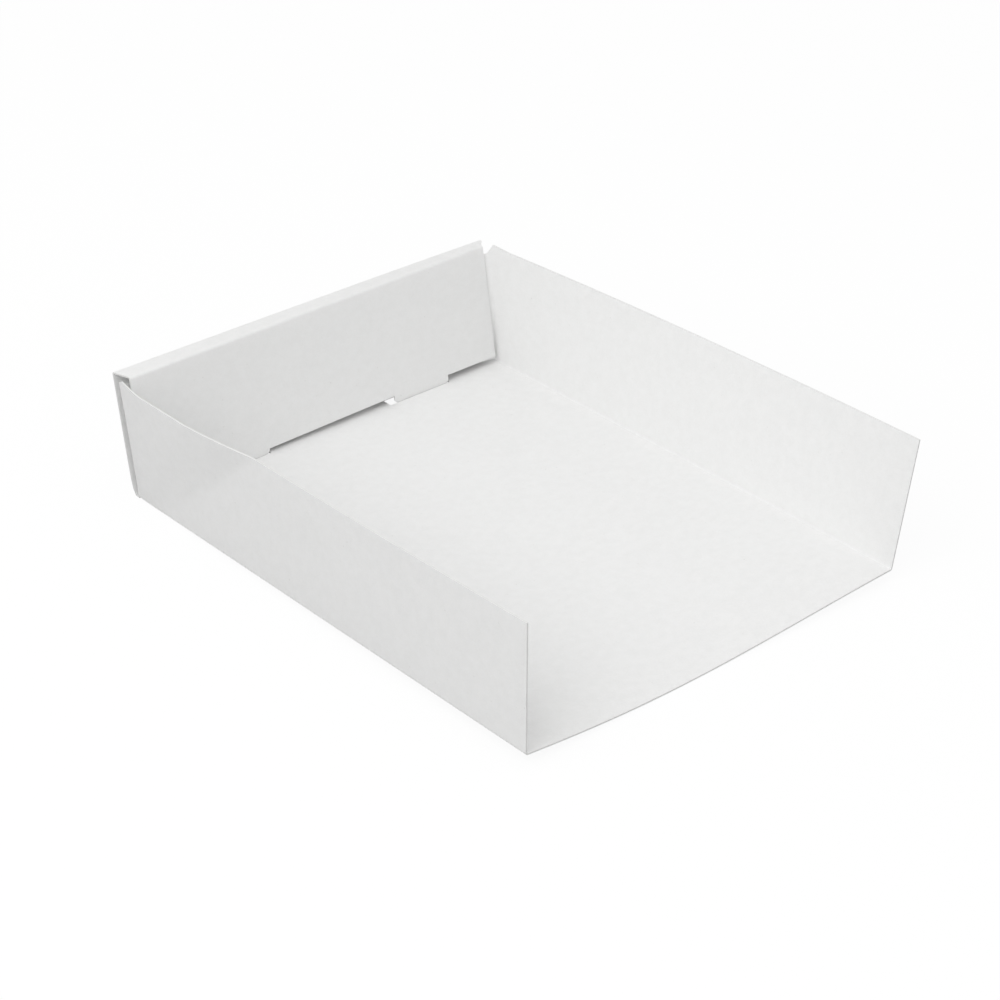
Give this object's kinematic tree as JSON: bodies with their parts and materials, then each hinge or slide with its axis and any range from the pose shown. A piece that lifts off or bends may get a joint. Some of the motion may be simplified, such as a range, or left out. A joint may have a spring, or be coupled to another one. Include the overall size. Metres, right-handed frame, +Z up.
{
  "type": "folded cardboard tray",
  "caption": "Shallow white paperboard tray folded from a die-cut sheet, open at the front, with a roll-over back wall locked by tabs in the floor.",
  "frame": {"origin": "middle of the underside of the tray's bounding box, on the surface that the tray stands on", "axes": "+X to the right seen from the open front, +Y from the open front to the back wall, +Z up"},
  "size_m": [0.1928, 0.2362, 0.0567],
  "materials": {
    "white_board": "uncoated white paperboard, matt, faintly mottled"
  },
  "bodies": {
    "root": {"folded_tray": "white_board"}
  },
  "joints": []
}
